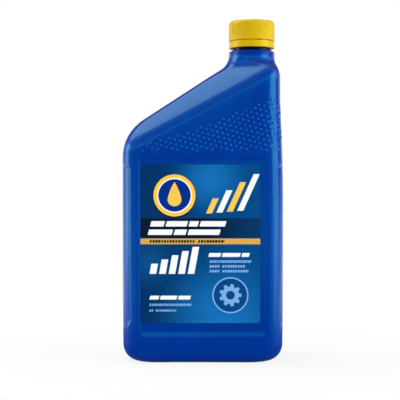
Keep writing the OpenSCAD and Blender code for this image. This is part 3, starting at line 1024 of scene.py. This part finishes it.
def label_material():
    material, tree, shader = new_material("label film")
    art = Print(tree, label_ground(tree))
    # Emblem: an oil drop on a gold disc, upper left
    art.disc(INK_BLACK, -17.2, 84.6, 14.6)
    art.disc(INK_GOLD, -17.2, 85.0, 14.0)
    art.disc(INK_WHITE, -17.2, 85.0, 11.6)
    art.disc(BOTTLE_DEEP, -17.2, 85.0, 10.8)
    art.lay(drop_mask(tree, -17.2, 82.4, 4.6, 11.5), INK_GOLD)
    # Fan of slanted bars beside it
    for i in range(4):
        art.bar(INK_WHITE if i % 2 else INK_GOLD, 8.0 + 8.0 * i, 78.0 + 3.0 * i, 2.0, 5.0 + 2.4 * i, slant=0.45)
    # Dark field with two lines of white print, which thins out to the right
    across, _ = from_place(tree, 0.0, 0.0)
    thinning = remap(tree, across, -5.0, LABEL_HALF, 1.0, 0.55)
    field = art.mask(0, 63.2, LABEL_HALF, 6.6, corner=SHARP)
    art.lay(math_node(tree, "MULTIPLY", field, thinning), FIELD_DARK)
    art.words(INK_WHITE, -33.0, 66.1, (9, 14, 6, 17), 1.8, 1.3)
    art.words(INK_WHITE, -34.6, 60.5, (16, 8, 21), 1.8, 1.3)
    # Gold stripe
    art.bar(GOLD_STRIPE, 0, 54.4, LABEL_HALF, 1.9, corner=SHARP)
    art.line(INK_BLACK, -34.0, 16.0, 54.4, 0.9, 1.9)
    # Rising bars of a plain gauge, and lines of print beside them
    for i in range(5):
        art.bar(INK_WHITE, -31.0 + 6.6 * i, 36.2 + 1.4 * i, 2.2, 3.4 + 1.4 * i, slant=0.18)
    art.words(INK_WHITE, 5.6, 45.4, (8, 12, 5), 1.3, 1.0)
    for end, up in ((34.0, 41.0), (30.0, 37.8), (32.0, 34.6)):
        art.line(INK_PALE, 6.0, end, up, 0.8, 1.7)
    # Round badge with a plain cog, lower right
    art.disc(INK_PALE, 20.0, 18.6, 12.0)
    art.disc(LABEL_DEEP, 20.0, 18.6, 11.1)
    art.lay(cog_mask(tree, 20.0, 18.6, 7.4, 9, 1.6), INK_PALE)
    art.disc(LABEL_DEEP, 20.0, 18.6, 2.9)
    # Lines of print, lower left
    art.words(INK_WHITE, -33.6, 17.0, (6, 11, 8), 1.3, 1.0)
    art.line(INK_PALE, -34.0, -6.0, 12.2, 0.8, 1.6)
    art.line(INK_PALE, -34.0, -16.0, 8.4, 0.7, 1.4)
    tree.links.new(art.colour, shader.inputs["Base Color"])
    ripple = noise_node(tree, object_coords(tree), 260.0, 2.0)
    tree.links.new(math_node(tree, "MULTIPLY_ADD", ripple, 0.1, 0.16), shader.inputs["Roughness"])
    shader.inputs["Specular Tint"].default_value = LABEL_SHEEN
    tree.links.new(add_bump(tree, ripple, 0.08), shader.inputs["Normal"])
    return material


def dress(obj, material):
    obj.data.materials.clear()
    obj.data.materials.append(material)


def dress_node(name, material):
    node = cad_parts[name]
    for slot in node.material_slots:
        slot.material = material


def shade_between(material, low_z, high_z, ink):
    """Darkens a material between two heights, where a narrow gap keeps the light out."""
    tree = material.node_tree
    shader = tree.nodes["Principled BSDF"]
    plain = shader.inputs["Base Color"].links[0].from_socket
    height = math_node(tree, "MULTIPLY", object_xyz(tree)[2], TO_MM)
    above = remap(tree, height, low_z, low_z + 0.3, 0.0, 1.0)
    below = remap(tree, height, high_z, high_z + 1.0, 1.0, 0.0)
    shade = blend_colour(tree, math_node(tree, "MULTIPLY", above, below), plain, ink)
    tree.links.new(shade, shader.inputs["Base Color"])


BLUE_SKIN = {
    "main": BOTTLE_BLUE, "shade": BOTTLE_DEEP, "gloss": 0.23, "peel": 0.1, "streaks": 0.5, "peel_scale": 700.0,
}
bottle_plastic = moulded_plastic("blue bottle plastic", **BLUE_SKIN, sheen=BOTTLE_SHEEN)
neck_plastic = moulded_plastic("blue neck plastic", **BLUE_SKIN, sheen=NECK_SHADED_SHEEN)
shade_between(neck_plastic, COLLAR_Z + COLLAR_H - 0.1, BAND_Z + 2.0, NECK_SHADE)
# Domes: painted lighter than the bottle, as a painted highlight
dome_plastic = moulded_plastic("blue dome plastic", DOME_LIT_BLUE, BOTTLE_BLUE, 0.2, 0.05, 0.3, sheen=BOTTLE_SHEEN)
cap_plastic = moulded_plastic(
    "yellow cap plastic", CAP_YELLOW, CAP_SHADE, 0.34, 0.1, 0.3, peel_scale=1400.0, sheen=CAP_SHEEN,
)
liner_foam = moulded_plastic("white liner foam", LINER_WHITE, LINER_WHITE, 0.6, 0.3, 0.2, peel_scale=2200.0)

shell = build_shell()
neck = build_neck()
stipple = build_stipple()
cap = build_cap()
band = build_band()
dress(shell, bottle_plastic)
dress(stipple, dome_plastic)
dress(neck, neck_plastic)
for obj in (cap, band):
    dress(obj, cap_plastic)
dress_node("front_label", label_material())
dress_node("cap_liner", liner_foam)


# Studio: pale floor, soft light from above and both sides, and a level camera

WORLD_FRONT = 0.02
WORLD_SIDE = 0.1
WORLD_BACK = 1.4
SKY_LOW = 1.8
SKY_MIDDLE = 0.62


def build_world():
    """White to the camera; to everything else dark in front, white behind and softly lit above."""
    world = bpy.data.worlds.new("studio")
    bpy.context.scene.world = world
    world.use_nodes = True
    tree = world.node_tree
    tree.nodes.clear()
    out = tree.nodes.new("ShaderNodeOutputWorld")
    split = tree.nodes.new("ShaderNodeSeparateXYZ")
    tree.links.new(tree.nodes.new("ShaderNodeTexCoord").outputs["Generated"], split.inputs[0])
    _, back, up = split.outputs
    side_to_back = remap(tree, back, 0.3, 0.9, 0.0, WORLD_BACK - WORLD_SIDE)
    side_to_back = math_node(tree, "MULTIPLY", side_to_back, remap(tree, up, 0.1, 0.35, 1.0, 0.0))
    around = math_node(tree, "ADD", remap(tree, back, -0.7, 0.0, WORLD_FRONT, WORLD_SIDE), side_to_back)
    low_sky = remap(tree, up, 0.14, 0.24, 0.0, SKY_LOW)
    above = math_node(tree, "ADD", low_sky, remap(tree, up, 0.3, 0.75, 0.0, SKY_MIDDLE - SKY_LOW))
    above = math_node(tree, "MULTIPLY", above, remap(tree, back, 0.2, 0.7, 1.0, 0.0))
    soft = tree.nodes.new("ShaderNodeBackground")
    soft.inputs["Color"].default_value = (1, 1, 1, 1)
    tree.links.new(math_node(tree, "ADD", around, above), soft.inputs["Strength"])
    white = tree.nodes.new("ShaderNodeBackground")
    white.inputs["Color"].default_value = (1, 1, 1, 1)
    rays = tree.nodes.new("ShaderNodeLightPath")
    choice = tree.nodes.new("ShaderNodeMixShader")
    tree.links.new(rays.outputs["Is Camera Ray"], choice.inputs[0])
    tree.links.new(soft.outputs[0], choice.inputs[1])
    tree.links.new(white.outputs[0], choice.inputs[2])
    tree.links.new(choice.outputs[0], out.inputs["Surface"])


# Glow of the floor for glossy rays, a painted reflection: dim in front and bright beside the bottle
FLOOR_GLOW_FRONT = 0.15
FLOOR_GLOW_BESIDE = 1.6


def build_floor():
    """Pale floor that keeps the soft shadow near the bottle and fades into the white backdrop. In the glossy
    plastic it shows as a painted reflection: for glossy rays it glows, dim in front and bright beside the bottle."""
    bm = bmesh.new()
    bmesh.ops.create_circle(bm, cap_ends=True, segments=96, radius=12.0)
    mesh = bpy.data.meshes.new("floor")
    bm.to_mesh(mesh)
    bm.free()
    floor = bpy.data.objects.new("floor", mesh)
    bpy.context.collection.objects.link(floor)
    material, tree, shader = new_material("floor white")
    shader.inputs["Base Color"].default_value = colour(225, 225, 225)
    shader.inputs["Roughness"].default_value = 0.8
    shader.inputs["Specular IOR Level"].default_value = 0.1
    glow = tree.nodes.new("ShaderNodeEmission")
    glow.inputs["Strength"].default_value = 1.0
    x, y, _ = object_xyz(tree)
    far = remap(tree, length_of(tree, x, y), 0.05, 0.3, 0.82, 1.0)
    rays = tree.nodes.new("ShaderNodeLightPath")
    seen = math_node(tree, "MULTIPLY", far, rays.outputs["Is Camera Ray"])
    choice = tree.nodes.new("ShaderNodeMixShader")
    tree.links.new(seen, choice.inputs[0])
    tree.links.new(shader.outputs[0], choice.inputs[1])
    tree.links.new(glow.outputs[0], choice.inputs[2])
    # Painted reflection: glossy rays see the floor glow, brighter beside the bottle
    dim = tree.nodes.new("ShaderNodeEmission")
    beside = math_node(tree, "ABSOLUTE", x)
    tree.links.new(remap(tree, beside, 0.12, 0.35, FLOOR_GLOW_FRONT, FLOOR_GLOW_BESIDE), dim.inputs["Strength"])
    painted_reflection = tree.nodes.new("ShaderNodeMixShader")
    tree.links.new(rays.outputs["Is Glossy Ray"], painted_reflection.inputs[0])
    tree.links.new(choice.outputs[0], painted_reflection.inputs[1])
    tree.links.new(dim.outputs[0], painted_reflection.inputs[2])
    tree.links.new(painted_reflection.outputs[0], tree.nodes["Material Output"].inputs["Surface"])
    mesh.materials.append(material)


def area_light(name, place, target, width, height, radiance):
    """A soft rectangular light. Its strength is given as radiance, so that 1 looks white in a mirror."""
    data = bpy.data.lights.new(name, "AREA")
    data.shape = "RECTANGLE"
    data.size = width
    data.size_y = height
    data.energy = radiance * width * height * math.pi
    light = bpy.data.objects.new(name, data)
    light.location = place
    light.rotation_euler = (Vector(target) - Vector(place)).to_track_quat("-Z", "Y").to_euler()
    bpy.context.collection.objects.link(light)


def build_camera():
    data = bpy.data.cameras.new("camera")
    data.sensor_width = SENSOR
    data.lens = SENSOR * CAMERA_DISTANCE / (PIXEL * FRAME_PX)
    data.shift_y = (HORIZON_PY - FRAME_PX / 2) / FRAME_PX
    camera = bpy.data.objects.new("camera", data)
    camera.location = (CAMERA_X, -CAMERA_DISTANCE, HORIZON_Z)
    camera.rotation_euler = (math.pi / 2, 0, 0)
    bpy.context.collection.objects.link(camera)
    bpy.context.scene.camera = camera


CENTRE = (0, 0, 0.12)
build_world()
build_floor()
build_camera()
area_light("top softbox", (-0.55, 0.36, 1.15), (-0.55, 0.36, 0.0), 1.2, 0.6, 2.9)
area_light("right softbox", (0.97, -0.4, 0.18), CENTRE, 0.8, 1.1, 4.1)
area_light("left softbox", (-1.04, 0.05, 0.18), CENTRE, 0.5, 1.1, 4.4)
bpy.context.scene.view_settings.view_transform = "Standard"
